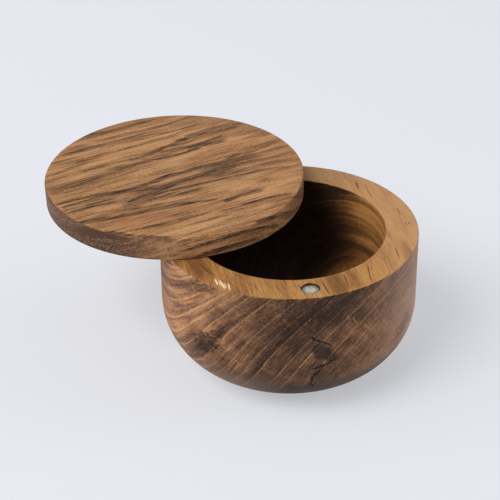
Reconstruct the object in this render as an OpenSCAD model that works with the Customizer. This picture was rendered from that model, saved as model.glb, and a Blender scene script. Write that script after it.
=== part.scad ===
// Round wooden salt box: a turned bowl, and a flat disc lid that swings sideways on a hidden
// upright pin. One disc magnet in the rim and one in the lid hold it shut.
// Millimetres, +Z up. The origin is the middle of the bowl's foot, on the table.

/* [Bowl] */
// Outside diameter of the bowl at its rim
bowl_d = 98; // [86:0.5:116]
// Height of the rim above the table
bowl_h = 56.4; // [48:0.1:70]
// How much further out the wall stands at its widest than at the rim
wall_swell = 0.3; // [0:0.05:1]
// Height above the table where the wall starts to curve in to the foot
turn_h = 27.8; // [27:0.1:36]
// Radius of that curve, which ends in a straight slope down to the foot
turn_r = 26; // [16:0.5:26.5]
// Diameter of the flat foot that the bowl stands on
foot_d = 57; // [44:0.5:66]
// Radius that eases the two edges of the rim
rim_edge = 0.5; // [0.2:0.1:1.2]

/* [Cavity] */
// Thickness of the wall at the rim
wall_t = 12.4; // [11:0.1:16]
// Thickness of the wood left under the cavity
floor_t = 9; // [5:0.1:14]
// Radius between the inside wall and the inside floor
cavity_corner = 22; // [8:0.5:25]

/* [Lid] */
// How far the edge of the lid stands out past the rim when the lid is shut
lid_overhang = 1.8; // [0:0.1:4]
// Thickness of the lid
lid_t = 9.2; // [8:0.1:14]
// Radius that eases both edges of the lid
lid_edge = 0.8; // [0.2:0.1:2]
// Running gap between the lid and the rim
lid_gap = 0.12; // [0.05:0.01:0.3]
// How far the lid is swung open, clockwise from shut
lid_swing = 74.8; // [0:0.1:180]

/* [Pivot pin] */
// Diameter of the steel pin that the lid turns on
pin_d = 6.35; // [4:0.05:8]
// Depth that the pin is driven into the underside of the lid
pin_in_lid = 6; // [4:0.1:7]
// Length of the pin that turns in the bowl
pin_in_bowl = 22; // [14:0.5:26]
// Radial running clearance of the pin in the bowl
pin_clearance = 0.05; // [0.02:0.01:0.1]
// Depth of the bowl's bore past the end of the pin
bore_spare = 2; // [0.5:0.1:4]
// Chamfer on both ends of the pin
pin_chamfer = 0.5; // [0.2:0.1:1]
// Direction of the pin from the middle of the bowl, from +X towards +Y
pin_direction = 97.2; // [80:0.1:110]

/* [Magnets] */
// Diameter of each disc magnet
magnet_d = 6.35; // [4:0.05:7.5]
// Thickness of each disc magnet
magnet_t = 3.2; // [1.5:0.1:4]
// Radius on the plated edges of the magnets
magnet_edge = 0.35; // [0.1:0.05:0.6]
// Depth of the rim magnet's face under the rim
rim_magnet_recess = 0.6; // [0:0.05:1.5]
// Depth of the lid magnet's face inside the lid
lid_magnet_recess = 0.3; // [0:0.05:1]
// Thickness of the glue round and behind each magnet
glue_t = 0.2; // [0.1:0.05:0.4]
// Direction of the magnets from the middle of the bowl with the lid shut, from +X towards +Y
magnet_direction = -79.5; // [-100:0.1:-60]

/* [Hidden] */
// Facets round small holes and pieces, and round the turned wood
$fn = 96;
turned_fn = 192;

// Overshoot that keeps a cut clear of the face that it starts from
cut = 1;

rim_r = bowl_d / 2;
belly_r = rim_r + wall_swell;
foot_r = foot_d / 2;
mouth_r = rim_r - wall_t;
lid_r = rim_r + lid_overhang;
lid_z = bowl_h + lid_gap;

// The slope from the foot touches the curve of the lower wall at this point of the section
turn_at = [belly_r - turn_r, turn_h];
foot_from_turn = [foot_r, 0] - turn_at;
slope_angle = atan2(foot_from_turn.y, foot_from_turn.x) + acos(turn_r / norm(foot_from_turn));
slope_top = turn_at + turn_r * [cos(slope_angle), sin(slope_angle)];

// The pin and the magnets stand in the middle of the wall
middle_r = (rim_r + mouth_r) / 2;
pin_at = middle_r * [cos(pin_direction), sin(pin_direction)];
magnet_at = middle_r * [cos(magnet_direction), sin(magnet_direction)];

bore_r = pin_d / 2 + pin_clearance;
bore_depth = pin_in_bowl + bore_spare;
magnet_r = magnet_d / 2;
pocket_r = magnet_r + glue_t;
rim_pocket_depth = rim_magnet_recess + magnet_t + glue_t;
lid_pocket_depth = lid_magnet_recess + magnet_t + glue_t;

walnut = "#7a5a42";
nickel = "#b9b8ae";
steel = "#8f9296";
glue = "#c9c6a8";

// What a radius takes off a square corner at the origin, with the material towards -X and -Y
module corner_waste(r) {
    difference() {
        translate([-r, -r]) square(r + cut);
        translate([-r, -r]) circle(r);
    }
}

// Half the section of a disc that stands on Z = 0, with eased edges
module disc_section(r, t, edge) {
    difference() {
        square([r, t]);
        translate([r, t]) corner_waste(edge);
        translate([r, 0]) mirror([0, 1]) corner_waste(edge);
    }
}

// Half the section of the outside of the bowl: the tapered wall over the turned-in foot
module bowl_outside_section() {
    difference() {
        union() {
            polygon([[0, turn_h], [belly_r, turn_h], [rim_r, bowl_h], [0, bowl_h]]);
            polygon([[0, 0], [foot_r, 0], slope_top, turn_at, [0, turn_h]]);
            intersection() {
                square([belly_r, turn_h]);
                translate(turn_at) circle(turn_r, $fn = turned_fn);
            }
        }
        translate([rim_r, bowl_h]) corner_waste(rim_edge);
    }
}

// Half the section of the cavity, with its round bottom corner and the eased mouth
module cavity_section() {
    translate([0, floor_t + cavity_corner]) square([mouth_r, bowl_h - floor_t - cavity_corner + cut]);
    translate([0, floor_t]) square([mouth_r - cavity_corner, bowl_h - floor_t]);
    translate([mouth_r - cavity_corner, floor_t + cavity_corner]) circle(cavity_corner, $fn = turned_fn);
    translate([mouth_r, bowl_h]) mirror([1, 0]) corner_waste(rim_edge);
}

module bowl() {
    color(walnut)
        difference() {
            rotate_extrude($fn = turned_fn)
                difference() {
                    bowl_outside_section();
                    cavity_section();
                }
            translate([pin_at.x, pin_at.y, bowl_h - bore_depth])
                cylinder(r = bore_r, h = bore_depth + cut);
            translate([magnet_at.x, magnet_at.y, bowl_h - rim_pocket_depth])
                cylinder(r = pocket_r, h = rim_pocket_depth + cut);
        }
}

// A plated disc magnet that stands on Z = 0
module magnet() {
    color(nickel) rotate_extrude() disc_section(magnet_r, magnet_t, magnet_edge);
}

// The cup of set glue behind and round a magnet that stands on Z = 0
module magnet_glue() {
    color(glue)
        rotate_extrude()
            difference() {
                translate([0, -glue_t]) square([pocket_r, glue_t + magnet_t - magnet_edge]);
                disc_section(magnet_r, magnet_t, magnet_edge);
            }
}

// Puts a piece that stands on Z = 0 into the rim's pocket
module in_rim_pocket() {
    translate([magnet_at.x, magnet_at.y, bowl_h - rim_magnet_recess - magnet_t]) children();
}

// Puts a piece that stands on Z = 0 upside down into the pocket of the shut lid
module in_lid_pocket() {
    translate([magnet_at.x, magnet_at.y, lid_z + lid_magnet_recess + magnet_t])
        mirror([0, 0, 1]) children();
}

// Turns a piece of the shut lid round the pin to where the lid stands
module swung_open() {
    translate([pin_at.x, pin_at.y, 0])
        rotate([0, 0, -lid_swing])
            translate([-pin_at.x, -pin_at.y, 0]) children();
}

module rim_magnet() {
    in_rim_pocket() magnet();
}

module rim_magnet_glue() {
    in_rim_pocket() magnet_glue();
}

module lid() {
    color(walnut)
        swung_open()
            difference() {
                translate([0, 0, lid_z])
                    rotate_extrude($fn = turned_fn) disc_section(lid_r, lid_t, lid_edge);
                translate([pin_at.x, pin_at.y, lid_z - cut])
                    cylinder(d = pin_d, h = pin_in_lid + cut);
                translate([magnet_at.x, magnet_at.y, lid_z - cut])
                    cylinder(r = pocket_r, h = lid_pocket_depth + cut);
            }
}

module pivot_pin() {
    pin_length = pin_in_lid + lid_gap + pin_in_bowl;
    pin_r = pin_d / 2;
    color(steel)
        translate([pin_at.x, pin_at.y, bowl_h - pin_in_bowl])
            rotate_extrude()
                polygon([
                    [0, 0],
                    [pin_r - pin_chamfer, 0],
                    [pin_r, pin_chamfer],
                    [pin_r, pin_length - pin_chamfer],
                    [pin_r - pin_chamfer, pin_length],
                    [0, pin_length],
                ]);
}

module lid_magnet() {
    swung_open() in_lid_pocket() magnet();
}

module lid_magnet_glue() {
    swung_open() in_lid_pocket() magnet_glue();
}

bowl();
rim_magnet();
rim_magnet_glue();
lid();
pivot_pin();
lid_magnet();
lid_magnet_glue();
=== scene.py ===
"""Looks of a turned wooden salt box whose disc lid swings on a hidden pin.

The CAD frame gives every piece its place. Bowl, lid, magnets, glue and pin are turned again
here on a finer lathe, and each gets a finish whose grain runs through the solid, so that end
grain, long grain and the cut edges agree with each other.
"""

from __future__ import annotations

import logging
import math
import sys
from dataclasses import dataclass
from enum import Enum
from typing import Any, Iterable, Optional, Union

import bmesh
import bpy
from mathutils import Euler, Matrix, Vector

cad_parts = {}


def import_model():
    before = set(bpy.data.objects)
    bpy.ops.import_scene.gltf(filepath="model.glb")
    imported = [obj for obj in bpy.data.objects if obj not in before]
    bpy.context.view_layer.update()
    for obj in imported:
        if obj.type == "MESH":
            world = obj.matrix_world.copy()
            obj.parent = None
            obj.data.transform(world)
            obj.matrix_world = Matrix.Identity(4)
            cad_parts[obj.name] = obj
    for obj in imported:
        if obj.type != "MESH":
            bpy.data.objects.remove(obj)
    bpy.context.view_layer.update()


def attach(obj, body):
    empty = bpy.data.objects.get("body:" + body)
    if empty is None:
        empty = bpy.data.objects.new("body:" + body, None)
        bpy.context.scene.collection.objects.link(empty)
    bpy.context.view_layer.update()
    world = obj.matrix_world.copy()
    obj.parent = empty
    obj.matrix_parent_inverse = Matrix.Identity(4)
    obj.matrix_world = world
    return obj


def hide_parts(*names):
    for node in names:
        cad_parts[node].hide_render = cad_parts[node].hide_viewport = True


log = logging.getLogger("salt_box")

MM = 0.001
Number = Union[int, float]
Colour = tuple[float, float, float]
Point = tuple[float, float]


def srgb(red: Number, green: Number, blue: Number) -> Colour:
    """Turns a colour written as 0 to 255 on screen into the light values that shaders use.

    Args:
        red: Red as on screen, 0 to 255.
        green: Green as on screen, 0 to 255.
        blue: Blue as on screen, 0 to 255.

    Returns:
        The colour as linear light values.
    """

    def linear(value: Number) -> float:
        """Undoes the screen's curve for one channel."""
        part = value / 255.0
        return part / 12.92 if part <= 0.04045 else ((part + 0.055) / 1.055) ** 2.4

    return linear(red), linear(green), linear(blue)


# ---- Shader and geometry expressions ----


class Shade:
    """A socket that takes part in Python expressions, each of which adds its node."""

    def __init__(self, book: "NodeBook", socket: bpy.types.NodeSocket) -> None:
        """Keeps the socket and the book that its next nodes are written in."""
        self.book = book
        self.socket = socket

    def __add__(self, other: "Shade | Number") -> "Shade":
        """Sum."""
        return self.book.math("ADD", self, other)

    __radd__ = __add__

    def __sub__(self, other: "Shade | Number") -> "Shade":
        """Difference."""
        return self.book.math("SUBTRACT", self, other)

    def __rsub__(self, other: Number) -> "Shade":
        """Difference from a number."""
        return self.book.math("SUBTRACT", other, self)

    def __mul__(self, other: "Shade | Number") -> "Shade":
        """Product."""
        return self.book.math("MULTIPLY", self, other)

    __rmul__ = __mul__

    def __truediv__(self, other: "Shade | Number") -> "Shade":
        """Quotient."""
        return self.book.math("DIVIDE", self, other)

    def __pow__(self, power: Number) -> "Shade":
        """Power."""
        return self.book.math("POWER", self, power)

    def __abs__(self) -> "Shade":
        """Size without sign."""
        return self.book.math("ABSOLUTE", self)

    def least(self, other: "Shade | Number") -> "Shade":
        """The smaller of the two."""
        return self.book.math("MINIMUM", self, other)

    def most(self, other: "Shade | Number") -> "Shade":
        """The larger of the two."""
        return self.book.math("MAXIMUM", self, other)

    def ease(self, start: Number, end: Number, low: Number = 0.0, high: Number = 1.0) -> "Shade":
        """Turns a stretch of values into a smooth step.

        Args:
            start: Value where the step begins. It may be above the end for a falling step.
            end: Value where the step ends.
            low: What comes out before the step.
            high: What comes out after the step.

        Returns:
            The smooth step.
        """
        if start > end:
            start, end, low, high = end, start, high, low
        sockets = {"Value": self, "From Min": start, "From Max": end, "To Min": low, "To Max": high}
        settings = {"interpolation_type": "SMOOTHSTEP"}
        return self.book.shade("ShaderNodeMapRange", settings, sockets, "Result")


class NodeBook:
    """Writes the nodes of one tree."""

    def __init__(self, tree: bpy.types.NodeTree) -> None:
        """Keeps the tree, emptied."""
        self.tree = tree
        tree.nodes.clear()

    def node(
        self,
        kind: str,
        settings: Optional[dict[str, Any]] = None,
        sockets: Optional[dict[Union[str, int], Any]] = None,
    ) -> bpy.types.Node:
        """Adds a node: first its settings, then the values or links of its sockets.

        Args:
            kind: Blender's name for the node's type.
            settings: Properties of the node; "stops" gives a ramp its stops.
            sockets: Input name or index to a number, a colour, a vector or a Shade.

        Returns:
            The node.
        """
        node = self.tree.nodes.new(kind)
        for name, value in (settings or {}).items():
            if name == "stops":
                self._set_stops(node.color_ramp, value)
            else:
                setattr(node, name, value)
        for key, value in (sockets or {}).items():
            entry = node.inputs[key]
            if isinstance(value, Shade):
                self.tree.links.new(value.socket, entry)
            elif isinstance(value, tuple) and len(value) == 3 and entry.type == "RGBA":
                entry.default_value = (*value, 1.0)
            else:
                entry.default_value = value
        return node

    @staticmethod
    def _set_stops(ramp: bpy.types.ColorRamp, stops: Iterable[tuple[float, Any]]) -> None:
        """Gives a ramp its stops.

        Args:
            ramp: The ramp.
            stops: Pairs of place, 0 to 1, and a colour or a grey value.
        """
        wanted = list(stops)
        while len(ramp.elements) < len(wanted):
            ramp.elements.new(1.0)
        for element, (place, value) in zip(ramp.elements, wanted):
            element.position = place
            colour = (value, value, value) if isinstance(value, (int, float)) else value
            element.color = (*colour, 1.0)

    def shade(
        self,
        kind: str,
        settings: Optional[dict[str, Any]] = None,
        sockets: Optional[dict[Union[str, int], Any]] = None,
        output: Union[str, int] = 0,
    ) -> Shade:
        """Adds a node and gives one of its outputs.

        Args:
            kind: Blender's name for the node's type.
            settings: Properties of the node.
            sockets: Input name or index to its value or link.
            output: Name or index of the output.

        Returns:
            The output, ready for expressions.
        """
        return Shade(self, self.node(kind, settings, sockets).outputs[output])

    def math(self, operation: str, *values: Union[Shade, Number]) -> Shade:
        """Adds a Math node."""
        return self.shade("ShaderNodeMath", {"operation": operation}, dict(enumerate(values)))

    def vector(self, x: Any, y: Any, z: Any) -> Shade:
        """Joins three values into a vector."""
        return self.shade("ShaderNodeCombineXYZ", None, {0: x, 1: y, 2: z})

    def split(self, vector: Shade) -> tuple[Shade, Shade, Shade]:
        """Parts a vector into its three values."""
        node = self.node("ShaderNodeSeparateXYZ", None, {0: vector})
        return tuple(Shade(self, output) for output in node.outputs)

    def noise(
        self, vector: Shade, scale: Number, detail: Number = 2.0, rough: Number = 0.5
    ) -> Shade:
        """Adds a noise texture.

        Args:
            vector: Where the noise is read.
            scale: Lumps per unit of length.
            detail: Octaves.
            rough: How much the finer octaves count.

        Returns:
            A value that wanders round one half.
        """
        sockets = {"Vector": vector, "Scale": scale, "Detail": detail, "Roughness": rough}
        return self.shade("ShaderNodeTexNoise", None, sockets, "Fac")

    def ramp(self, value: Shade, stops: Iterable[tuple[float, Any]]) -> Shade:
        """Adds a colour ramp."""
        return self.shade("ShaderNodeValToRGB", {"stops": stops}, {"Fac": value}, "Color")

    def blend(self, factor: Any, first: Any, second: Any) -> Shade:
        """Mixes two colours.

        Args:
            factor: How much of the second colour comes in.
            first: Colour at factor 0.
            second: Colour at factor 1.

        Returns:
            The mixed colour.
        """
        sockets = {0: factor, 6: first, 7: second}
        return self.shade("ShaderNodeMix", {"data_type": "RGBA"}, sockets, 2)

    def length(self, vector: Shade) -> Shade:
        """Length of a vector."""
        return self.shade("ShaderNodeVectorMath", {"operation": "LENGTH"}, {0: vector}, "Value")


# ---- Finishes ----


@dataclass(frozen=True)
class Grain:
    """How the fibres of a block run, and the middle and height of its top face, in mm."""

    fibre_deg: float
    centre: Point
    top: float

    def read(self, book: NodeBook) -> Shade:
        """Gives the place in the block: along the fibre, across it, and up from its top.

        Args:
            book: Book of the material's tree.

        Returns:
            The place as a vector in mm.
        """
        turn = math.radians(-self.fibre_deg)
        x, y = self.centre
        move = (
            -(x * math.cos(turn) - y * math.sin(turn)),
            -(x * math.sin(turn) + y * math.cos(turn)),
            -self.top,
        )
        place = book.shade("ShaderNodeTexCoord", None, None, "Object")
        scale = (1 / MM, 1 / MM, 1 / MM)
        sockets = {"Vector": place, "Location": move, "Rotation": (0.0, 0.0, turn), "Scale": scale}
        return book.shade("ShaderNodeMapping", {"vector_type": "POINT"}, sockets)

    def end_share(self, book: NodeBook) -> Shade:
        """Tells how far the surface cuts across the fibres: 0 on long grain, 1 on end grain.

        Args:
            book: Book of the material's tree.

        Returns:
            The share of end grain.
        """
        angle = math.radians(self.fibre_deg)
        x, y, _ = book.split(book.shade("ShaderNodeTexCoord", None, None, "Normal"))
        dot = x * math.cos(angle) + y * math.sin(angle)
        return dot * dot

    @staticmethod
    def wall_share(book: NodeBook) -> Shade:
        """Tells how far the surface is a wall: 0 on level faces, 1 on upright and undercut ones."""
        _, _, z = book.split(book.shade("ShaderNodeTexCoord", None, None, "Normal"))
        undercut = (z + 1.0).ease(0.03, 0.1) * z.ease(0.0, -0.1)
        return (1.0 - z * z).ease(0.2, 0.55).most(undercut)


@dataclass(frozen=True)
class Streak:
    """A long soft mark in the figure, from one point to another, in mm."""

    start: Point
    end: Point
    width: float
    depth: float

    SPREAD = 1.3
    SOFT_FROM = 0.08
    ANY_HEIGHT = 1000.0

    def mask(self, book: NodeBook, place: Shade) -> Shade:
        """Draws the streak as a long, blunt ellipse with soft edges.

        Args:
            book: Book of the material's tree.
            place: Where the surface is, along and across the grain.

        Returns:
            The streak's strength, 0 outside it.
        """
        run = (self.end[0] - self.start[0], self.end[1] - self.start[1])
        middle = (self.start[0] + run[0] / 2, self.start[1] + run[1] / 2, 0.0)
        reach = math.hypot(*run) / 2 + self.width
        tilt = (0.0, 0.0, math.atan2(run[1], run[0]))
        scale = (reach, self.width * self.SPREAD, self.ANY_HEIGHT)
        sockets = {"Vector": place, "Location": middle, "Rotation": tilt, "Scale": scale}
        local = book.shade("ShaderNodeMapping", {"vector_type": "TEXTURE"}, sockets)
        sockets = {0: local, 1: local}
        square = book.shade("ShaderNodeVectorMath", {"operation": "MULTIPLY"}, sockets)
        return book.length(square).ease(1.0, self.SOFT_FROM, 0.0, self.depth)


def streaks(*rows: tuple[float, ...]) -> tuple[Streak, ...]:
    """Turns rows of start, end, width and depth into streaks.

    Args:
        rows: Each row has along and across of the start, of the end, then width and depth.

    Returns:
        The streaks.
    """
    return tuple(Streak((a, b), (c, d), width, depth) for a, b, c, d, width, depth in rows)


def lay(
    book: NodeBook,
    along: Shade,
    side: Shade,
    marks: tuple[Streak, ...],
    after: Optional[Shade] = None,
) -> Shade:
    """Lays marks over each other so that together they never pass 1.

    They go down in batches. Each batch bends the grain a little for the next one, as real
    streaks do, and that also makes the shader work them out one batch at a time.

    Args:
        book: Book of the material's tree.
        along: Place along the grain.
        side: Place across it.
        marks: The marks.
        after: Marks that were laid before these, which bend the grain for them.

    Returns:
        Their joint strength.
    """
    batch, bend = 24, 0.12
    clear: Optional[Shade] = None
    for start in range(0, len(marks), batch):
        bent = side if after is None else side + after * bend
        place = book.vector(along, bent, 0.0)
        for streak in marks[start : start + batch]:
            left = 1.0 - streak.mask(book, place)
            clear = left if clear is None else clear * left
        after = 1.0 - clear
    return after


def hairlines(book: NodeBook, along: Shade, side: Shade, up: Shade, spacing: float) -> Shade:
    """Draws thin broken lines along the grain.

    Args:
        book: Book of the material's tree.
        along: Place along the grain.
        side: Place across it.
        up: Height.
        spacing: Rough distance between lines, in mm.

    Returns:
        The lines' strength.
    """
    field_of_lines = book.noise(book.vector(along * 0.03, side, up), 0.6 / spacing, 2.0, 0.6)
    shown = book.noise(book.vector(along * 0.1, side, up), 0.35 / spacing, 1.0)
    return abs(field_of_lines - 0.5).ease(0.03, 0.004) * shown.ease(0.42, 0.6)


@dataclass(frozen=True)
class Finish:
    """What every finish has: a name and a way to become a material."""

    name: str

    def surface(self, book: NodeBook) -> Shade:
        """Builds the finish and gives its shader."""
        raise NotImplementedError

    def material(self) -> bpy.types.Material:
        """Builds the material.

        Returns:
            The material.
        """
        made = bpy.data.materials.new(self.name)
        made.use_nodes = True
        book = NodeBook(made.node_tree)
        book.node("ShaderNodeOutputMaterial", None, {"Surface": self.surface(book)})
        return made

    @staticmethod
    def coat(book: NodeBook, colour: Shade, rough: Shade, normal: Shade, **plain: float) -> Shade:
        """Adds the shader.

        Args:
            book: Book of the material's tree.
            colour: Base colour.
            rough: Roughness.
            normal: Normal.
            plain: Values that are the same all over, with _ for the spaces of their names.

        Returns:
            The shader.
        """
        sockets: dict[str, Any] = {"Base Color": colour, "Roughness": rough, "Normal": normal}
        sockets |= {name.replace("_", " "): value for name, value in plain.items()}
        return book.shade("ShaderNodeBsdfPrincipled", None, sockets)

    @staticmethod
    def bump(book: NodeBook, height: Shade, strength: float, distance_mm: float) -> Shade:
        """Turns a height into a normal."""
        sockets = {"Height": height, "Strength": strength, "Distance": distance_mm * MM}
        return book.shade("ShaderNodeBump", None, sockets, "Normal")


@dataclass(frozen=True)
class WoodTones:
    """Colours of one wood on long grain, on end grain, and of the marks in it."""

    shade: Colour
    brown: Colour
    plain: Colour
    gold: Colour
    pale: Colour
    red: Colour
    dark: Colour
    end_dark: Colour
    end_plain: Colour
    end_gold: Colour
    end_pale: Colour
    ring_line: Colour

    def long_grain(self, book: NodeBook, tone: Shade) -> Shade:
        """Colours long grain by its tone, 0 to 1."""
        stops = ((0.12, self.brown), (0.4, self.plain), (0.62, self.gold), (0.92, self.pale))
        return book.ramp(tone, stops)

    def end_grain(self, book: NodeBook, tone: Shade) -> Shade:
        """Colours end grain by its tone, 0 to 1."""
        dark, pale = (0.08, self.end_dark), (0.95, self.end_pale)
        return book.ramp(tone, (dark, (0.4, self.end_plain), (0.66, self.end_gold), pale))


@dataclass(frozen=True)
class BowlWood(Finish):
    """Oiled walnut of the bowl, with growth rings that show on its front as thin light lines."""

    grain: Grain
    tones: WoodTones
    pith: Point
    ring_lines: tuple[Point, ...]
    ring_tones: tuple[Point, ...]
    ring_span: Point
    mouth_r: float
    inside: tuple[tuple[float, Colour], ...]
    right_flank_sheen: Colour
    foot_sheen: Colour
    foot_shade: Colour
    knot_dark: Colour
    crack_shade: Colour
    chip_and_glint: Colour
    smudges: tuple[Streak, ...]
    knots: tuple[Streak, ...]
    cracks: tuple[Streak, ...]
    rays: tuple[Streak, ...]
    rim_lines: tuple[Streak, ...]
    rim_patches: tuple[Streak, ...]
    chips: tuple[Streak, ...]

    def surface(self, book: NodeBook) -> Shade:
        """Builds end grain, long grain, the knot with its crack, and the rings inside.

        Args:
            book: Book of the material's tree.

        Returns:
            The shader.
        """
        tones = self.tones
        place = self.grain.read(book)
        along, across, up = book.split(place)
        end = self.grain.end_share(book)
        slow = book.vector(along * 0.22, across, up)
        blotch = book.noise(slow, 0.13, 3.0, 0.6)
        fibre = book.noise(book.vector(along * 0.04, across, up), 1.2, 3.0, 0.62)
        pores = book.noise(book.vector(along * 0.1, across, up), 2.4, 2.0, 0.6)

        ring, turn = self._rings(book, slow, along, across, up)
        tone = self._ring_tone(book, ring, turn, along)
        lines = self._ring_lines(ring) * pores.ease(0.36, 0.56, 0.35, 1.25)
        lines = (lines * blotch.ease(0.3, 0.52, 0.55, 1.0)).least(1.0)
        end_tone = tone + (pores - 0.5) * 0.8 + (blotch - 0.5) * 0.7
        end_tone = end_tone - across.ease(-34.0, -14.0, 0.0, 0.03)
        end_colour = tones.end_grain(book, end_tone)
        # Greyer and paler towards the right flank: painted sheen.
        end_colour = book.blend(across.ease(14.0, 49.0, 0.0, 0.64), end_colour, self.right_flank_sheen)
        end_colour = book.blend(lines, end_colour, tones.ring_line)

        long_tone = 0.56 + (fibre - 0.5) * 0.7 + (blotch - 0.5) * 1.0 + (pores - 0.5) * 0.9
        # Long grain lighter, paler and pinker towards the right: partly the wood's own tone, partly
        # painted sheen.
        long_tone = long_tone + across * 0.003
        long_colour = tones.long_grain(book, long_tone)
        long_colour = book.blend(across.ease(14.0, 50.0, 0.0, 0.5), long_colour, tones.red)
        long_colour = book.blend(along.ease(-12.0, -46.0, 0.0, 0.5), long_colour, tones.shade)
        hair = hairlines(book, along, across, up, 1.6)
        grooves = pores.ease(0.36, 0.27) * 0.25
        long_colour = book.blend(grooves.most(hair * 0.22), long_colour, tones.dark)
        long_colour = self._mark_rim(book, long_colour, along, across, up, fibre)
        colour = book.blend(self.grain.wall_share(book), long_colour, end_colour)
        colour = self._paint_foot_sheen_and_shade(book, colour, along, across, up, pores)
        colour, crack = self._mark_front(book, colour, along, across, up)
        # Pale chips at the rim's outer edge: torn fibres with a painted glint.
        chip = lay(book, along, across, self.chips) * up.ease(-2.6, -1.4)
        colour = book.blend(chip, colour, self.chip_and_glint)
        colour, ridges = self._paint_inside_light_and_shade(book, colour, up, end, ring, lines)

        height = fibre * 0.5 + pores * 0.5 - crack * 2.0 - grooves + ridges * 1.5
        normal = self.bump(book, height, 0.35, 0.12)
        rough = pores.ease(0.3, 0.7, 0.5, 0.62) + crack * 0.2
        return self.coat(book, colour, rough, normal, Specular_IOR_Level=0.16)

    def _rings(
        self, book: NodeBook, slow: Shade, along: Shade, across: Shade, up: Shade
    ) -> tuple[Shade, Shade]:
        """Finds the ring that a point is in.

        Args:
            book: Book of the material's tree.
            slow: Place with the fibre's way shortened, for slow waves.
            along: Place along the fibre.
            across: Place across the fibre.
            up: Height from the rim.

        Returns:
            Distance from the pith, carried by slow waves, and the direction from it.
        """
        wave = (book.noise(slow, 0.035, 1.0) - 0.5) * 1.4
        wave = wave + (book.noise(slow, 0.16, 1.0) - 0.5) * 0.4
        from_s, from_z = across - self.pith[0], up - self.pith[1]
        ring = book.math("SQRT", from_s * from_s + from_z * from_z) + wave + along * 0.01
        return ring, book.math("ARCTAN2", from_z, from_s)

    def _ring_tone(self, book: NodeBook, ring: Shade, turn: Shade, along: Shade) -> Shade:
        """Gives the tone of each ring, with fine bands and rays.

        Args:
            book: Book of the material's tree.
            ring: Distance from the pith.
            turn: Direction from the pith.
            along: Place along the fibre.

        Returns:
            The tone, dark to light.
        """
        low, high = self.ring_span
        stops = [((radius - low) / (high - low), tone) for radius, tone in self.ring_tones]
        plan = book.ramp((ring - low) / (high - low), stops)
        tone = book.shade("ShaderNodeRGBToBW", None, {"Color": plan})
        bands = book.noise(book.vector(ring, turn * 7.0, along * 0.03), 1.5, 3.0, 0.75)
        rays = book.noise(book.vector(turn * 90.0, ring * 0.06, along * 0.06), 1.4, 1.0)
        return tone + (bands - 0.5) * 1.25 + (rays - 0.5) * 0.3

    def _ring_lines(self, ring: Shade) -> Shade:
        """Draws the thin light line where each ring starts.

        Args:
            ring: Distance from the pith.

        Returns:
            The lines' strength.
        """
        lines: Optional[Shade] = None
        for radius, strength in self.ring_lines:
            near = abs(ring - radius).ease(0.3, 0.05, 0.0, strength)
            lines = near if lines is None else lines.most(near)
        return lines

    def _paint_foot_sheen_and_shade(
        self, book: NodeBook, colour: Shade, along: Shade, across: Shade, up: Shade, pores: Shade
    ) -> Shade:
        """Paints sheen and shade on the wall towards the foot: a painted sheen of pale grey at the
        left, and painted shade, nearly black, at the front, over wood that is partly darker of
        itself.

        Args:
            book: Book of the material's tree.
            colour: Colour so far.
            along: Place along the fibre.
            across: Place across the fibre.
            up: Height from the rim.
            pores: The pores' noise, which breaks the grey up.

        Returns:
            The colour with the painted sheen and shade at the foot.
        """
        foot = up.ease(-31.0, -43.5, 0.0, 0.97) * across.ease(-47.0, -12.0, 0.15, 1.0)
        foot = foot * along.ease(-6.0, 26.0, 0.35, 1.0) * up.ease(-56.3, -55.4, 0.3, 1.0)
        foot = foot * pores.ease(0.36, 0.62, 1.0, 0.72)
        # Painted sheen at the left, painted shade at the front.
        grey = book.blend(across.ease(-36.0, -10.0), self.foot_sheen, self.foot_shade)
        return book.blend(foot, colour, grey)

    def _mark_rim(
        self, book: NodeBook, colour: Shade, along: Shade, across: Shade, up: Shade, fibre: Shade
    ) -> Shade:
        """Lays the dark lines and patches of the rim over the long grain.

        Args:
            book: Book of the material's tree.
            colour: Colour so far.
            along: Place along the fibre.
            across: Place across the fibre.
            up: Height from the rim.
            fibre: The fibres' noise.

        Returns:
            The colour with the marks.
        """
        on_rim = up.ease(-1.0, -0.5)
        patches = lay(book, along, across + (fibre - 0.5) * 1.6, self.rim_patches) * on_rim
        colour = book.blend(patches, colour, self.tones.brown)
        lines = lay(book, along, across + (fibre - 0.5) * 0.5, self.rim_lines) * on_rim
        return book.blend(lines, colour, self.tones.dark)

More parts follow.
